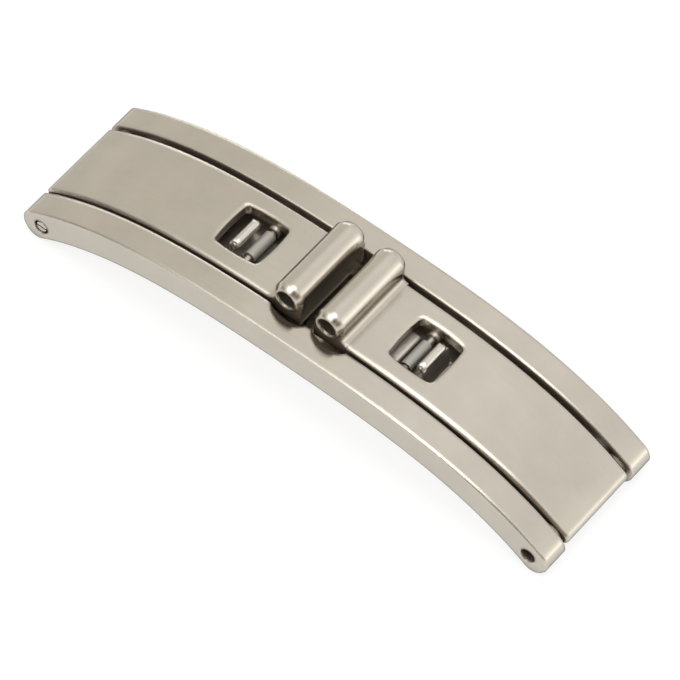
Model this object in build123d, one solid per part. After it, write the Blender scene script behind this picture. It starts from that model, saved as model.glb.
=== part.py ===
from build123d import *
import os
from math import acos, asin, atan2, copysign, cos, hypot, sin, sqrt

os.makedirs("parts", exist_ok=True)

# Curve of the closed clasp, seen from the side. All lengths are in millimetres.
# The top is nearly flat in the middle and bends more and more towards each end. Each half is
# a chain of tangent arcs of one length, whose bend grows in equal steps.
middle_radius = 440.0
end_radius = 18.2
half_curve_length = 20.5
arc_count = 6

# Two rails and the floor between them, which are one milled piece.
overall_width = 10.44
rail_width = 1.84
rail_height = 2.16
rail_end_reach = 1.38
rail_end_top_round_share = 0.46
rail_end_bottom_round_share = 0.42
rail_edge_break = 0.08
floor_thickness = 0.42

# Hinge of each leaf. The half pitch runs from the middle of the clasp to the hinge line.
hinge_half_pitch = 18.5
hinge_depth = 1.15
knuckle_end_clearance = 0.15
screw_shank_radius = 0.35
screw_head_radius = 0.4
screw_head_setback = 0.03
screw_slot_width = 0.12
screw_slot_depth = 0.2
screw_tip_setback = 0.12
counterbore_radius = 0.53
counterbore_depth = 0.95
sleeve_wall = 0.18
washer_rim = 0.55
washer_side_play = 0.02
running_clearance = 0.02
press_clearance = 0.01

# Leaf plate with its rolled link tube at the inner end.
leaf_side_gap = 0.32
leaf_thickness = 0.76
leaf_edge_break = 0.16
leaf_end_round = 0.5
leaf_end_inset = 0.34

tube_half_pitch = 1.54
tube_outer_radius = 1.05
tube_bore_radius = 0.665
tube_lift = 1.06
tube_side_gap = 0.06
tube_taper_length = 0.42
tube_taper_depth = 0.24
tube_root_round = 0.44

# Window in the leaf, with slightly bowed sides.
window_inner_edge = 4.98
window_length = 3.22
window_width = 3.3
window_bow = 0.12
window_corner_round = 0.3
window_edge_break = 0.1

# Roller of the catch, on a thick axle between two ears under the leaf. It runs a little off the
# middle. The axle is pressed into the ears and ends level with them.
roller_offset = 6.1
roller_floor_gap = 0.21
roller_radius = 0.4
roller_length = 2.1
roller_side_shift = 0.15
axle_radius = 0.25
ear_radius = 0.44
ear_inner_reach = 1.44
ear_thickness = 0.56
ear_neck_share = 0.7
ear_neck_sink = 0.05

# Spring clip that the roller drops into. It is one strip bent to a trough, with a flat lip under
# the leaf on its inner side and a sloped outer wall that ends in a rolled bead.
clip_strip = 0.16
clip_width = 2.44
clip_bend = 0.14
clip_floor_sink = 0.05
clip_side_clearance = 0.2
clip_foot_reach = 1.62
bead_radius = 0.34
bead_depth = 0.36
bead_corner_round = 0.5
bead_taper_length = 0.3
bead_taper_depth = 0.12
lip_length = 1.06
lip_corner_round = 0.5
lip_height = 0.58
snap_clearance = 0.02
clip_pocket_clearance = 0.03

# Flush rivets that hold the clip to the floor.
rivet_radius = 0.3
rivet_spacing = 1.3
rivet_offset = 0.4

# Round scoops in the rails beside the link tubes. Those of one rail are wide and stand a little
# to the right of the tubes, and those of the other rail just clear the ends of the tubes.
scoop_lift = 1.0
wide_scoop_radius = 1.92
wide_scoop_reach = 2.46
wide_scoop_shift = 0.3
small_scoop_radius = 1.31
small_scoop_reach = 3.07

# Slope of the broken edges, in degrees.
edge_break_angle = 45

# Spare length that cutters run past the metal.
overrun = 1.0

# How closely an edge is matched to its place when it is picked for rounding.
match_reach = 0.01

# Sizes worked out from the ones above.
half_width = overall_width / 2
channel_half_width = half_width - rail_width
floor_top_depth = rail_height - floor_thickness
leaf_half_width = channel_half_width - leaf_side_gap
tube_half_length = channel_half_width - tube_side_gap


def make_arcs():
    # Right half of the curve: the lean at which each arc starts, its radius and its centre.
    arcs = []
    lean = 0
    radius = 0
    centre = Vector(0, 0, 0)
    for index in range(arc_count):
        share = (index + 0.5) / arc_count
        bend = (1 - share) / middle_radius + share / end_radius
        centre += Vector(sin(lean), 0, cos(lean)) * (radius - 1 / bend)
        radius = 1 / bend
        arcs.append((lean, radius, centre))
        lean += half_curve_length / arc_count * bend
    return arcs


curve_arcs = make_arcs()


def lean_at(x, depth=0):
    # Lean of the surface from level, at a place along the clasp on the line at one depth.
    for start, radius, centre in reversed(curve_arcs):
        sine = (abs(x) - centre.X) / (radius - depth)
        if sine >= sin(start):
            return copysign(asin(sine), x)
    return 0


def place(lean, depth):
    # Point below the top surface, measured square to it.
    start, radius, centre = [arc for arc in curve_arcs if arc[0] <= abs(lean)][-1]
    spot = centre + Vector(sin(abs(lean)), 0, cos(lean)) * (radius - depth)
    return Vector(copysign(spot.X, lean), 0, spot.Z)


def curve(lean_a, lean_b, depth):
    # Arcs that follow the clasp at one depth.
    starts = [start for start, radius, centre in curve_arcs[1:]]
    joints = sorted(starts + [-start for start in starts])
    low, high = sorted([lean_a, lean_b])
    stops = [low] + [joint for joint in joints if low < joint < high] + [high]
    if lean_a > lean_b:
        stops.reverse()
    arcs = []
    for start, end in zip(stops, stops[1:]):
        middle = place((start + end) / 2, depth)
        arcs.append(Edge.make_three_point_arc(place(start, depth), middle, place(end, depth)))
    return arcs


def band(lean_a, lean_b, top_depth, bottom_depth, band_half_width):
    # Curved bar between two depths.
    edges = curve(lean_a, lean_b, top_depth)
    edges.append(Edge.make_line(place(lean_b, top_depth), place(lean_b, bottom_depth)))
    edges += curve(lean_b, lean_a, bottom_depth)
    edges.append(Edge.make_line(place(lean_a, bottom_depth), place(lean_a, top_depth)))
    face = Face(Wire(edges))
    return extrude(face, amount=band_half_width, dir=(0, 1, 0), both=True)


def local_frame(lean):
    # Frame on the top surface, with X along the clasp and Z out of it.
    return Plane(origin=place(lean, 0), x_dir=(cos(lean), 0, -sin(lean)), z_dir=(sin(lean), 0, cos(lean)))


def across(radius, length):
    # Round bar across the clasp.
    return Rot(90, 0, 0) * Cylinder(radius, length)


# The hinge line lies under the top surface, where a line square to it meets the half pitch.
pivot_lean = lean_at(hinge_half_pitch, hinge_depth)
pivot_reach = curve_arcs[-1][1] - hinge_depth
pivot = place(pivot_lean, hinge_depth)
knuckle_radius = rail_height - hinge_depth
rail_end_lean = pivot_lean + rail_end_reach / pivot_reach
leaf_end_lean = pivot_lean + (rail_end_reach - leaf_end_inset) / pivot_reach
floor_end_lean = pivot_lean - (knuckle_radius + leaf_end_round + knuckle_end_clearance) / pivot_reach
sleeve_bore_radius = screw_shank_radius + running_clearance
sleeve_radius = sleeve_bore_radius + sleeve_wall

# The catch is laid out in a frame of its own on the top surface.
catch_lean = lean_at(roller_offset)
catch_frame = local_frame(catch_lean)
catch_pivot = catch_frame.to_local_coords(pivot)
seat_depth = floor_top_depth + clip_floor_sink
roller_depth = seat_depth - clip_strip - roller_floor_gap - roller_radius
axle_half_length = ear_inner_reach + ear_thickness
clip_inner_face = -roller_radius - clip_side_clearance
lip_top_depth = seat_depth - lip_height
lip_end = clip_inner_face - lip_length

# The roller swings past the bead of the clip with the snap clearance between them.
roller_swing = hypot(catch_pivot.X, catch_pivot.Z + roller_depth)
bead_swing = roller_swing - roller_radius - bead_radius - snap_clearance
bead_rise = -bead_depth - catch_pivot.Z
bead_place = catch_pivot.X - sqrt(bead_swing * bead_swing - bead_rise * bead_rise)

# Frame on the top surface in the middle of the window.
window_frame = local_frame(lean_at(window_inner_edge + window_length / 2))


def edges_at(shape, spots):
    # Edges across the clasp that pass through the given spots of its side view.
    found = []
    for edge in shape.edges().filter_by(Axis.Y):
        middle = edge.center()
        for spot in spots:
            if hypot(middle.X - spot.X, middle.Z - spot.Z) < match_reach:
                found.append(edge)
    return found


def arcs_at(shape, depth, side):
    # Edges that run along the clasp at one depth, on the side face at one Y.
    radii = [radius - depth for start, radius, centre in curve_arcs]
    found = []
    for edge in shape.edges().filter_by(GeomType.CIRCLE):
        if abs((edge @ 0.5).Y - side) > match_reach:
            continue
        if min(abs(edge.radius - radius) for radius in radii) < match_reach:
            found.append(edge)
    return found


def turned(shape):
    # The same piece for the left end, turned half round about the upright axis.
    return Rot(0, 0, 180) * shape


def make_rail():
    # One side rail. Its outer face is at +Y, and its ends are rounded off.
    rail = band(-rail_end_lean, rail_end_lean, 0, rail_height, rail_width / 2)
    low_corners = [place(-rail_end_lean, rail_height), place(rail_end_lean, rail_height)]
    rail = fillet(edges_at(rail, low_corners), rail_end_bottom_round_share * rail_height)
    top_corners = [place(-rail_end_lean, 0), place(rail_end_lean, 0)]
    rail = fillet(edges_at(rail, top_corners), rail_end_top_round_share * rail_height)
    rail = chamfer(arcs_at(rail, 0, rail_width / 2), rail_edge_break)
    return Pos(0, half_width - rail_width / 2, 0) * rail


def make_scoops():
    # Balls that scoop the rails beside the two link tubes.
    scoops = []
    for tube_place in (-tube_half_pitch, tube_half_pitch):
        wide = Pos(tube_place + wide_scoop_shift, -wide_scoop_reach, scoop_lift)
        small = Pos(tube_place, small_scoop_reach, scoop_lift)
        scoops += [wide * Sphere(wide_scoop_radius), small * Sphere(small_scoop_radius)]
    return scoops


def make_hinge_holes():
    # Cross hole through both rails, wider where the screw head sits. Both ends are alike.
    bore = across(screw_shank_radius + press_clearance, overall_width + overrun)
    mouth = Pos(0, half_width - counterbore_depth / 2 + overrun / 2, 0)
    mouth *= across(counterbore_radius, counterbore_depth + overrun)
    return Location(pivot) * (bore + mouth + mirror(mouth, about=Plane.XZ))


def make_clip_pocket():
    # Flat seat for the clip in the curved floor, with the rivet holes through it.
    inner = clip_inner_face - clip_strip - clip_pocket_clearance
    outer = clip_foot_reach + clip_pocket_clearance
    size = outer - inner
    seat = Box(size, clip_width + 2 * clip_pocket_clearance, floor_thickness)
    pocket = Pos((inner + outer) / 2, 0, floor_thickness / 2 - seat_depth) * seat
    for spot in rivet_spots():
        pocket += spot * make_rivet(press_clearance)
    return catch_frame.location * pocket


def rivet_spots():
    # The two rivet places in the frame of the catch, at the seat of the clip.
    return [Pos(rivet_offset, half * rivet_spacing / 2, -seat_depth) for half in (-1, 1)]


def make_rivet(spare):
    # Flush rivet, level with the top of the strip and with the underside of the floor.
    bottom = seat_depth - rail_height
    return Pos(0, 0, (clip_strip + bottom) / 2) * Cylinder(rivet_radius + spare, clip_strip - bottom)


def make_base_frame():
    # Both rails and the floor between them in one piece.
    rail = make_rail()
    rail_middle = half_width - rail_width / 2
    floor = band(-floor_end_lean, floor_end_lean, floor_top_depth, rail_height, rail_middle)
    frame = floor + rail + mirror(rail, about=Plane.XZ)
    holes = make_hinge_holes()
    frame -= holes + turned(holes)
    for scoop in make_scoops():
        frame -= scoop
    pocket = make_clip_pocket()
    frame -= pocket
    frame -= turned(pocket)
    return frame


def make_window():
    # Cutter for the window in the right leaf, with sides that bow outward.
    reach = window_length / 2
    half = window_width / 2
    corners = [(-reach, -half), (reach, -half), (reach, half), (-reach, half)]
    bows = [(0, -half - window_bow), (reach + window_bow, 0), (0, half + window_bow)]
    bows.append((-reach - window_bow, 0))
    sides = []
    for index, corner in enumerate(corners):
        following = corners[(index + 1) % len(corners)]
        sides.append(ThreePointArc(corner, bows[index], following))
    outline = make_face(sides)
    outline = fillet(outline.vertices(), window_corner_round)
    cutter = extrude(outline, amount=leaf_thickness + overrun / 2, both=True)
    rim = Pos(0, 0, -window_edge_break) * outline
    cutter += extrude(rim, amount=2 * window_edge_break, taper=-edge_break_angle)
    return window_frame.location * cutter


def make_tube():
    # Link tube across the inner end of the right leaf, with a short taper at each end.
    straight_half_length = tube_half_length - tube_taper_length
    tube = across(tube_outer_radius, 2 * straight_half_length)
    taper = Cone(tube_outer_radius, tube_outer_radius - tube_taper_depth, tube_taper_length)
    taper = Pos(0, straight_half_length + tube_taper_length / 2, 0) * Rot(-90, 0, 0) * taper
    tube += taper + mirror(taper, about=Plane.XZ)
    return Pos(tube_half_pitch, 0, tube_lift) * tube


def make_tube_root():
    # Metal that joins the tube to the plate, with a hollow curve on the outer side.
    lean = lean_at(tube_half_pitch)
    top = place(lean, 0)
    inner_face = tube_half_pitch - tube_outer_radius
    drop = tube_lift - tube_root_round
    spread = sqrt((tube_outer_radius + tube_root_round) ** 2 - drop**2)
    meet_share = tube_outer_radius / (tube_outer_radius + tube_root_round)
    meet = (tube_half_pitch + spread * meet_share, tube_lift - drop * meet_share)
    centre_x = tube_half_pitch + spread
    low = -leaf_thickness
    side = [
        Polyline((inner_face, tube_lift), (inner_face, low), (centre_x, low), (centre_x, 0)),
        RadiusArc((centre_x, 0), meet, tube_root_round),
        Polyline(meet, (tube_half_pitch, tube_lift), (inner_face, tube_lift)),
    ]
    face = Plane.XZ * make_face(side)
    return extrude(face, amount=leaf_half_width, both=True)


def make_leaf():
    # Right leaf: curved plate, hinge knuckle, link tube, window and the two roller ears.
    inner_lean = lean_at(tube_half_pitch)
    plate = band(inner_lean, leaf_end_lean, 0, leaf_thickness, leaf_half_width)
    plate = fillet(edges_at(plate, [place(leaf_end_lean, 0)]), leaf_end_round)
    plate += Location(pivot) * across(knuckle_radius, 2 * leaf_half_width)
    plate += make_tube_root()
    rims = arcs_at(plate, 0, leaf_half_width) + arcs_at(plate, 0, -leaf_half_width)
    plate = chamfer(rims, leaf_edge_break)
    plate -= make_window()
    plate += make_tube()
    neck_half = ear_neck_share * ear_radius
    neck_top = roller_depth - leaf_thickness + ear_neck_sink
    neck = Box(2 * neck_half, ear_thickness, neck_top + neck_half)
    ear = across(ear_radius, ear_thickness) + Pos(0, 0, (neck_top - neck_half) / 2) * neck
    ear = Pos(0, axle_half_length - ear_thickness / 2, 0) * ear
    axle_place = catch_frame.location * Pos(0, 0, -roller_depth)
    plate += axle_place * ear
    plate += axle_place * mirror(ear, about=Plane.XZ)
    plate -= axle_place * across(axle_radius + press_clearance, 2 * axle_half_length + overrun)
    plate -= Location(pivot) * across(sleeve_radius + press_clearance, 2 * leaf_half_width + overrun)
    plate -= Pos(tube_half_pitch, 0, tube_lift) * across(tube_bore_radius, 2 * tube_half_length + overrun)
    return plate


def make_hinge_screw():
    # Slotted hinge screw of the right leaf. Its head is at +Y and its tip ends inside the far rail.
    head_foot = half_width - counterbore_depth
    tip = -half_width + counterbore_depth + screw_tip_setback
    shank = Pos(0, (head_foot + tip) / 2, 0) * across(screw_shank_radius, head_foot - tip)
    head_height = counterbore_depth - screw_head_setback
    head = across(screw_head_radius, head_height)
    slot = Box(2 * screw_head_radius + overrun, 2 * screw_slot_depth, screw_slot_width)
    head -= Pos(0, head_height / 2, 0) * slot
    screw = shank + Pos(0, head_foot + head_height / 2, 0) * head
    return Location(pivot) * screw


def make_hinge_sleeve():
    # Sleeve pressed into the knuckle, which turns on the screw.
    sleeve = across(sleeve_radius, 2 * leaf_half_width) - across(sleeve_bore_radius, 2 * half_width)
    return Location(pivot) * sleeve


def make_hinge_washers():
    # Two washers that fill the gaps between the knuckle and the rails.
    thickness = leaf_side_gap - 2 * washer_side_play
    ring = across(screw_shank_radius + washer_rim, thickness)
    ring -= across(sleeve_bore_radius, thickness + overrun)
    middle = leaf_half_width + leaf_side_gap / 2
    return [Location(pivot) * Pos(0, half * middle, 0) * ring for half in (-1, 1)]


def make_clip():
    # Spring clip, one strip bent to a trough, with its lip, its sloped wall and its rolled bead.
    foot = clip_strip / 2 - seat_depth
    lip = -lip_top_depth - clip_strip / 2
    inner = clip_inner_face - clip_strip / 2
    outer = clip_foot_reach - clip_strip / 2
    roll_radius = bead_radius - clip_strip / 2
    along = outer - bead_place
    down = foot + bead_depth
    turn = atan2(down, along) + acos(roll_radius / hypot(along, down))
    wall_top = (bead_place + roll_radius * cos(turn), roll_radius * sin(turn) - bead_depth)
    path = FilletPolyline(
        (lip_end, lip), (inner, lip), (inner, foot), (outer, foot), wall_top, radius=clip_bend
    )
    strip = extrude(Plane.XZ * trace(path, clip_strip), amount=clip_width / 2, both=True)
    strip += Pos(bead_place, 0, -bead_depth) * make_bead()
    clip = strip & (make_wall_outline() + make_lip_outline())
    for spot in rivet_spots():
        clip -= spot * make_rivet(press_clearance)
    return catch_frame.location * clip


def make_bead():
    # Rolled edge of the clip, hollow, with a short taper at each end.
    straight_half_length = clip_width / 2 - bead_taper_length
    bead = across(bead_radius, 2 * straight_half_length)
    taper = Cone(bead_radius, bead_radius - bead_taper_depth, bead_taper_length)
    taper = Pos(0, straight_half_length + bead_taper_length / 2, 0) * Rot(-90, 0, 0) * taper
    bead += taper + mirror(taper, about=Plane.XZ)
    return bead - across(bead_radius - clip_strip, clip_width + overrun)


def make_wall_outline():
    # Block that trims the upper corners of the outer wall and its bead to a round.
    top = bead_radius - bead_depth
    bottom = -seat_depth - overrun
    outline = Pos(0, (top + bottom) / 2) * Rectangle(clip_width, top - bottom)
    outline = fillet(outline.vertices().sort_by(Axis.Y)[-2:], bead_corner_round)
    return extrude(Plane.YZ * outline, amount=clip_foot_reach + overrun)


def make_lip_outline():
    # Block that trims the two inner corners of the lip to a round.
    outline = Pos(lip_end / 2, 0) * Rectangle(-lip_end, clip_width)
    outline = fillet(outline.vertices().sort_by(Axis.X)[:2], lip_corner_round)
    return extrude(outline, amount=-seat_depth - overrun)


def make_clip_rivets():
    # The two rivets of the right clip.
    return [catch_frame.location * spot * make_rivet(0) for spot in rivet_spots()]


def make_roller():
    # Roller sleeve that drops into the clip.
    roller = across(roller_radius, roller_length)
    roller -= across(axle_radius + running_clearance, roller_length + overrun)
    return catch_frame.location * Pos(0, -roller_side_shift, -roller_depth) * roller


def make_axle():
    # Roller axle, pressed into both ears and level with their outer faces.
    return catch_frame.location * Pos(0, 0, -roller_depth) * across(axle_radius, 2 * axle_half_length)


# Every piece is made for the right end and turned half round for the left end.
base_frame = make_base_frame()
leaf = make_leaf()
hinge_screw = make_hinge_screw()
hinge_sleeve = make_hinge_sleeve()
hinge_washers = make_hinge_washers()
clip = make_clip()
clip_rivets = make_clip_rivets()
roller = make_roller()
axle = make_axle()

right_pieces = {
    "leaf": [leaf],
    "hinge_screw": [hinge_screw],
    "hinge_sleeve": [hinge_sleeve],
    "hinge_washers": hinge_washers,
    "catch_clip": [clip],
    "clip_rivets": clip_rivets,
    "catch_roller": [roller],
    "roller_axle": [axle],
}

# The finished clasp stands with its rail ends on the ground.
lift = Pos(0, 0, -base_frame.bounding_box().min.Z)
export_step(lift * base_frame, "parts/base_frame.step")
for name, solids in right_pieces.items():
    placed = [lift * solid for solid in solids]
    opposite = [turned(solid) for solid in placed]
    right = placed[0] if len(placed) == 1 else Compound(placed)
    left = opposite[0] if len(opposite) == 1 else Compound(opposite)
    export_step(right, "parts/right_" + name + ".step")
    export_step(left, "parts/left_" + name + ".step")
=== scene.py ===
from math import cos, pi, radians, sin

import bmesh
import bpy
from mathutils import Matrix, Vector


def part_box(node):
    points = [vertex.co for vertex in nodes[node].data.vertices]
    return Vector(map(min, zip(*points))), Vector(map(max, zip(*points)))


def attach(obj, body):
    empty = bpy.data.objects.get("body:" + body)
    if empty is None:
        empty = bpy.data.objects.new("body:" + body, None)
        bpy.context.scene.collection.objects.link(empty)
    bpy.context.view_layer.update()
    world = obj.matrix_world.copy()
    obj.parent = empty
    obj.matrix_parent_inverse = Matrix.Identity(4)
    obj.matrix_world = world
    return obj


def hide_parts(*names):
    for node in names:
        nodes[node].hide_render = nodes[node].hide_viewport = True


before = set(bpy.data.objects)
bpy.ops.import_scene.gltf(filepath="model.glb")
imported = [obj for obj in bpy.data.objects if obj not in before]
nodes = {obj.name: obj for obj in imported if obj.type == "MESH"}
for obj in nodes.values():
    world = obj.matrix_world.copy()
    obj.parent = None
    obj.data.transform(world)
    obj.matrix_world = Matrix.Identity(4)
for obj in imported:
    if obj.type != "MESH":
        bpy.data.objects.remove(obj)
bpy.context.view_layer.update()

sides = ("left", "right")

# Frame. Both rails and the floor between them are milled from one bar of stainless steel. The outside
# is satin polished along its length with rubbed edges, and a brown film stays in the corners of the
# channel where the wheel can't reach; those corners are also painted darker as painted shade.

edge_tint = 0.4
cloud_scale = 420.0
gloss_below = 0.04
gloss_above = 0.05
lay_contrast = 0.015
corner_reach = 0.0012
film_roughness = 0.5
film_metal = 0.5
scratch_height = 0.00001
ray_count = 6


def steel(name, colour, film_and_shade, roughness, lay, scratch, edge):
    """Stainless steel with a fine lay, rounded edges, and a browner, duller film in its corners, which
    are painted darker as painted shade.
    """
    mat = bpy.data.materials.new(name)
    mat.use_nodes = True
    tree = mat.node_tree
    shader = tree.nodes["Principled BSDF"]
    shader.inputs["Specular Tint"].default_value = (edge_tint, edge_tint, edge_tint, 1)

    def add(kind, values=(), inputs=()):
        node = tree.nodes.new("ShaderNode" + kind)
        for socket, value in values:
            node.inputs[socket].default_value = value
        for socket, source in inputs:
            tree.links.new(source, node.inputs[socket])
        return node

    # The lay is a noise drawn out across the strokes, and wide clouds vary the gloss.
    where = add("TexCoord").outputs["Object"]
    stretched = add("Mapping", [("Scale", lay)], [("Vector", where)])
    grain_values = [("Scale", 1.0), ("Detail", 6.0), ("Roughness", 0.62)]
    grain = add("TexNoise", grain_values, [("Vector", stretched.outputs["Vector"])])
    clouds = add("TexNoise", [("Scale", cloud_scale), ("Detail", 3.0)], [("Vector", where)])
    gloss_values = [("To Min", roughness - gloss_below), ("To Max", roughness + gloss_above)]
    gloss = add("MapRange", gloss_values, [("Value", clouds.outputs["Fac"])])
    tone = add("ValToRGB", inputs=[("Fac", grain.outputs["Fac"])])
    dark_stroke, light_stroke = tone.color_ramp.elements
    dark_stroke.position = 0.3
    light_stroke.position = 0.7
    dark_stroke.color = [part * (1 - lay_contrast) for part in colour] + [1]
    light_stroke.color = [part * (1 + lay_contrast) for part in colour] + [1]

    # Corners found by ambient occlusion keep the film colour as painted shade, and the deepest of them
    # are painted darker still.
    corner = add("AmbientOcclusion", [("Distance", corner_reach)])
    corner.samples = ray_count
    shade = corner.outputs["AO"]
    unshaded_values = [("From Min", 0.3), ("From Max", 0.75)]
    unshaded_share = add("MapRange", unshaded_values, [("Value", shade)]).outputs["Result"]
    painted_shade_darkening_values = [("From Min", 0.15), ("From Max", 0.5), ("To Min", 0.2)]
    painted_shade_darkening = add("MapRange", painted_shade_darkening_values, [("Value", shade)]).outputs["Result"]
    film_and_shade_colour = add("Mix")
    film_and_shade_colour.data_type = "RGBA"
    film_and_shade_colour.inputs[6].default_value = [*film_and_shade, 1]
    tree.links.new(unshaded_share, film_and_shade_colour.inputs["Factor"])
    tree.links.new(tone.outputs["Color"], film_and_shade_colour.inputs[7])
    smudge_values = [("From Min", 0.3), ("From Max", 0.7), ("To Min", 0.97), ("To Max", 1.025)]
    smudge = add("MapRange", smudge_values, [("Value", clouds.outputs["Fac"])]).outputs["Result"]
    # Painted shade in the corners and the random smudge tone multiply the base colour.
    depth = add("Math", inputs=[(0, painted_shade_darkening), (1, smudge)])
    depth.operation = "MULTIPLY"
    dark = add("VectorMath", inputs=[(0, film_and_shade_colour.outputs[2])])
    dark.operation = "SCALE"
    tree.links.new(depth.outputs["Value"], dark.inputs["Scale"])
    tree.links.new(dark.outputs["Vector"], shader.inputs["Base Color"])
    dull = add("Mix", [(2, film_roughness)], [("Factor", unshaded_share), (3, gloss.outputs["Result"])])
    tree.links.new(dull.outputs[0], shader.inputs["Roughness"])
    bare = add("MapRange", [("To Min", film_metal), ("To Max", 1.0)], [("Value", unshaded_share)])
    tree.links.new(bare.outputs["Result"], shader.inputs["Metallic"])

    rounding = add("Bevel", [("Radius", edge)])
    rounding.samples = ray_count
    relief_inputs = [("Normal", rounding.outputs["Normal"]), ("Height", grain.outputs["Fac"])]
    relief = add("Bump", [("Strength", scratch), ("Distance", scratch_height)], relief_inputs)
    tree.links.new(relief.outputs["Normal"], shader.inputs["Normal"])
    return mat


def dress(node, mat):
    """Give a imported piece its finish."""
    piece = nodes[node]
    piece.data.materials.clear()
    piece.data.materials.append(mat)


satin_colour = (0.59, 0.55, 0.48)
# Brown film colour, which is also painted into the corners as painted shade.
brown_film_and_shade = (0.34, 0.27, 0.21)
long_lay = (600, 5000, 5000)
satin_scratch = 0.03
satin = steel("satin_steel", satin_colour, brown_film_and_shade, 0.18, long_lay, satin_scratch, edge=0.00028)
dress("base_frame", satin)

# Leaves. Each is a curved plate with its link tube and hinge knuckle in one piece, polished like the
# frame but rubbed rounder, so that the edges of the window, the plate and the tube run softly.

# Darker colour painted into the leaves' corners and along their edges beside the gaps as painted
# shade.
dark_film_and_shade = (0.24, 0.18, 0.135)
leaf_satin = steel("leaf_steel", satin_colour, dark_film_and_shade, 0.17, long_lay, satin_scratch, edge=0.00034)
for side in sides:
    dress(side + "_leaf", leaf_satin)

# Hinge screws. A turned screw of hardened steel lies across each end, with a rounded slotted head in
# one rail and a threaded tip in the other. The sleeve in the knuckle turns on its bare middle, between
# two washers that lost their shine.


def lathe(name, rings, mat, steps=48):
    """Mesh turned about Y from (distance along Y, radius) pairs in metres."""
    mesh = bmesh.new()
    circles = []
    for reach, radius in rings:
        circle = []
        for step in range(steps):
            angle = 2 * pi * step / steps
            circle.append(mesh.verts.new((radius * cos(angle), reach, radius * sin(angle))))
        circles.append(circle)
    for low, high in zip(circles, circles[1:]):
        for step in range(steps):
            following = (step + 1) % steps
            mesh.faces.new((low[step], low[following], high[following], high[step]))
    mesh.faces.new(circles[0])
    mesh.faces.new(list(reversed(circles[-1])))
    bmesh.ops.recalc_face_normals(mesh, faces=mesh.faces)
    data = bpy.data.meshes.new(name)
    mesh.to_mesh(data)
    mesh.free()
    for face in data.polygons:
        face.use_smooth = len(face.vertices) == 4
    data.materials.append(mat)
    piece = bpy.data.objects.new(name, data)
    bpy.context.scene.collection.objects.link(piece)
    return piece


turned_lay = (5000, 600, 5000)
turned_colour = (0.60, 0.56, 0.50)
# The corners of the turned pieces are painted browner and darker as painted shade too.
turned_steel = steel("turned_steel", turned_colour, brown_film_and_shade, 0.22, turned_lay, 0.1, edge=0.00004)
washer_colour = (0.30, 0.26, 0.21)
washer_steel = steel("washer_steel", washer_colour, brown_film_and_shade, 0.35, turned_lay, 0.1, edge=0.00003)
for side in sides:
    dress(side + "_hinge_sleeve", turned_steel)
    dress(side + "_hinge_washers", washer_steel)

screw_shank_radius = 0.00035
screw_head_length = 0.00092
screw_head_round = 0.00007
screw_round_steps = 5
screw_slot_width = 0.00012
screw_slot_depth = 0.0002
thread_length = 0.0013
thread_pitch = 0.00018
thread_depth = 0.00005
thread_flank_share = 0.4
for side in sides:
    low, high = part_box(side + "_hinge_screw")
    head_radius = (high.z - low.z) / 2
    head_end = (high.y - low.y) / 2
    thread_root = screw_shank_radius - thread_depth
    rings = []
    for turn in range(int(thread_length / thread_pitch)):
        start = -head_end + turn * thread_pitch
        rings += [(start, thread_root)]
        rings += [(start + thread_flank_share * thread_pitch, screw_shank_radius)]
        rings += [(start + (1 - thread_flank_share) * thread_pitch, screw_shank_radius)]
    rings.append((rings[-1][0] + thread_flank_share * thread_pitch, thread_root))
    rings.append((rings[-1][0] + thread_depth, screw_shank_radius))
    rings.append((head_end - screw_head_length, screw_shank_radius))
    rings.append((head_end - screw_head_length, head_radius))
    for step in range(screw_round_steps + 1):
        angle = radians(90 * step / screw_round_steps)
        reach = head_end - screw_head_round * (1 - sin(angle))
        rings.append((reach, head_radius - screw_head_round * (1 - cos(angle))))
    screw = lathe(side + "_slotted_screw", rings, turned_steel)
    bpy.ops.mesh.primitive_cube_add(size=1)
    cutter = bpy.context.object
    cutter.scale = (4 * head_radius, 2 * screw_slot_depth, screw_slot_width)
    cutter.location = (0, head_end, 0)
    slot = screw.modifiers.new("slot", "BOOLEAN")
    slot.operation = "DIFFERENCE"
    slot.object = cutter
    bpy.context.view_layer.objects.active = screw
    bpy.ops.object.modifier_apply(modifier="slot")
    bpy.data.objects.remove(cutter)
    if side == "left":
        screw.data.transform(Matrix.Rotation(pi, 4, "Z"))
    screw.location = (low + high) / 2
    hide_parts(side + "_hinge_screw")
    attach(screw, "base")

# Rollers. Each is a short sleeve with a fine matt turned skin, loose on a bright pin that is pressed
# into the two ears under the leaf.

matt_colour = (0.51, 0.50, 0.46)
# Colour painted into the roller's corners as painted shade, only a little darker than the roller.
matt_film_and_shade = (0.47, 0.46, 0.42)
matt = steel("roller_steel", matt_colour, matt_film_and_shade, 0.75, turned_lay, 0.2, edge=0.00005)
for side in sides:
    dress(side + "_catch_roller", matt)
    dress(side + "_roller_axle", turned_steel)

# Spring clips. One strip of bright spring steel is bent to a trough, with a flat lip on its inner side
# and its outer edge rolled to a bead, whose ends are pressed shut. Two flush rivets hold it down.

bright_colour = (0.66, 0.63, 0.58)
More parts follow.
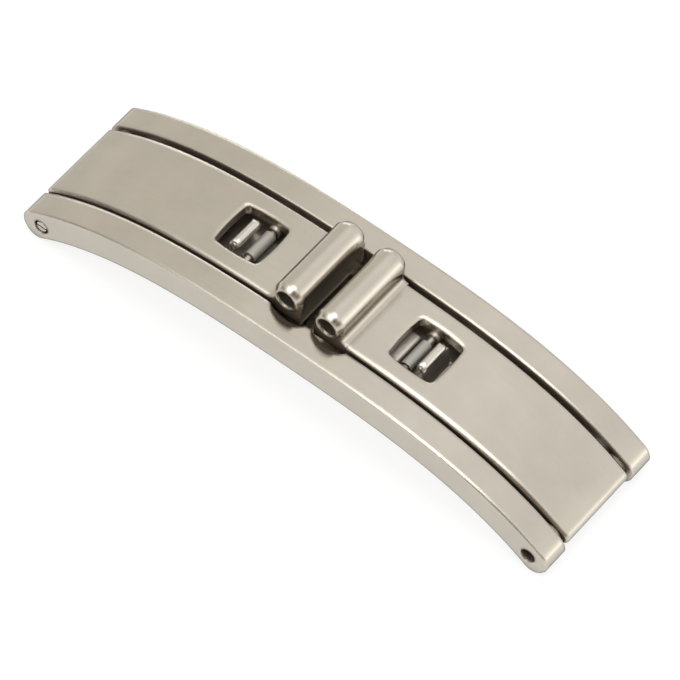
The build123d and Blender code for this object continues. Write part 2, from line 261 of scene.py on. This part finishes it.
# Colour painted into the clip's corners as painted shade.
bright_film_and_shade = (0.56, 0.51, 0.44)
strip_lay = (900, 3000, 3000)
bright = steel("spring_steel", bright_colour, bright_film_and_shade, 0.24, strip_lay, 0.05, edge=0.00016)
bead_reach = 0.0070219
bead_radius = 0.00034
roll_hollow = 0.00018
shut_length_share = 0.5
shut_narrowing = 0.85
shut_steps = 6
for side in sides:
    dress(side + "_catch_clip", bright)
    dress(side + "_clip_rivets", turned_steel)
    low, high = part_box(side + "_catch_clip")
    rings = []
    for step in range(shut_steps + 1):
        bend = sin(radians(90 * step / shut_steps))
        reach = low.y + shut_length_share * roll_hollow * (1 - bend)
        rings.append((reach, roll_hollow * (1 - shut_narrowing * bend)))
    rings.reverse()
    rings += [(-reach, radius) for reach, radius in reversed(rings)]
    shut = lathe(side + "_shut_bead", rings, bright)
    shut.location = (-bead_reach if side == "left" else bead_reach, 0, high.z - bead_radius)
    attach(shut, "base")

# Table, a plain pale sheet under the clasp.

table_white = bpy.data.materials.new("pale_table")
table_white.use_nodes = True
paint = table_white.node_tree.nodes["Principled BSDF"]
paint.inputs["Base Color"].default_value = (0.18, 0.183, 0.19, 1)
paint.inputs["Roughness"].default_value = 0.9
paint.inputs["Emission Color"].default_value = (1.0, 1.0, 1.0, 1)
paint.inputs["Emission Strength"].default_value = 0.82
bpy.ops.mesh.primitive_plane_add(size=4)
table = bpy.context.object
table.name = "table"
table.data.materials.append(table_white)

# Room. The steel mirrors a pale room made of soft patches, each round one direction: how near to it
# the patch is full and where it ends, as cosines, and its colour.

room_tone = (0.86, 0.85, 0.835, 1)
room_strength = 1.08
patches = [
    # Duller wall behind the left half, and the calm ceiling over the middle.
    ((-0.78, 0.49, 0.38), 0.95, 0.55, (0.72, 0.695, 0.64)),
    ((-0.05, 0.49, 0.87), 0.99, 0.90, (0.90, 0.885, 0.86)),
    # White wall at the right, whose window lights the rims that face it.
    ((0.90, 0.42, 0.12), 0.96, 0.76, (1.18, 1.14, 1.08)),
    ((0.87, 0.49, 0.14), 0.992, 0.97, (1.7, 1.65, 1.6)),
    # Dark camera side, with the camera itself and a dark stand at each hand.
    ((0.10, -0.95, 0.30), 0.93, 0.74, (0.22, 0.17, 0.12)),
    ((0.33, -0.50, 0.80), 0.98, 0.945, (0.10, 0.08, 0.06)),
    ((-0.77, -0.61, 0.19), 0.97, 0.88, (0.10, 0.08, 0.06)),
    ((0.78, -0.42, 0.42), 0.98, 0.93, (0.27, 0.21, 0.15)),
    # Lamps: a long one over the camera, a faint one at its right, one straight above and a low pair
    # behind the left end.
    ((-0.15, -0.62, 0.77), 0.965, 0.93, (2.4, 2.35, 2.25)),
    ((-0.27, -0.53, 0.80), 0.985, 0.955, (2.4, 2.35, 2.25)),
    ((0.50, -0.10, 0.86), 0.985, 0.95, (1.25, 1.2, 1.12)),
    ((0.07, 0.01, 1.00), 0.972, 0.94, (4.0, 4.0, 3.9)),
    ((-0.70, 0.71, 0.05), 0.99, 0.972, (3.0, 3.0, 3.0)),
    ((-0.52, 0.85, 0.08), 0.985, 0.965, (3.0, 3.0, 3.0)),
]
world = bpy.data.worlds.new("room")
world.use_nodes = True
bpy.context.scene.world = world
room = world.node_tree
backdrop = room.nodes["Background"]
backdrop.inputs["Strength"].default_value = room_strength
around = room.nodes.new("ShaderNodeTexCoord")
base_tone = room.nodes.new("ShaderNodeRGB")
base_tone.outputs[0].default_value = room_tone
seen = base_tone.outputs[0]
for direction, full, end, colour in patches:
    towards = room.nodes.new("ShaderNodeVectorMath")
    towards.operation = "DOT_PRODUCT"
    towards.inputs[1].default_value = Vector(direction).normalized()
    room.links.new(around.outputs["Generated"], towards.inputs[0])
    fade = room.nodes.new("ShaderNodeMapRange")
    fade.interpolation_type = "SMOOTHSTEP"
    fade.inputs["From Min"].default_value = end
    fade.inputs["From Max"].default_value = full
    room.links.new(towards.outputs["Value"], fade.inputs["Value"])
    blend = room.nodes.new("ShaderNodeMix")
    blend.data_type = "RGBA"
    blend.inputs[7].default_value = [*colour, 1]
    room.links.new(fade.outputs["Result"], blend.inputs["Factor"])
    room.links.new(seen, blend.inputs[6])
    seen = blend.outputs[2]
room.links.new(seen, backdrop.inputs["Color"])

# Camera, a long lens high over the near right end of the clasp.

azimuth = radians(32.555)
elevation = radians(54.644)
roll = radians(6.327)
aim = Vector((0.001628, -0.001829, 0.004183))
distance = 0.4019086
camera = bpy.data.objects.new("camera", bpy.data.cameras.new("camera"))
bpy.context.scene.collection.objects.link(camera)
camera.data.sensor_width = 36
camera.data.lens = 356.69
camera.data.clip_start = 0.01
turn = Matrix.Rotation(azimuth, 3, "Z") @ Matrix.Rotation(radians(90) - elevation, 3, "X")
turn = turn @ Matrix.Rotation(roll, 3, "Z")
camera.matrix_world = Matrix.Translation(aim + turn @ Vector((0, 0, distance))) @ turn.to_4x4()
bpy.context.scene.camera = camera
bpy.context.scene.view_settings.view_transform = "Standard"
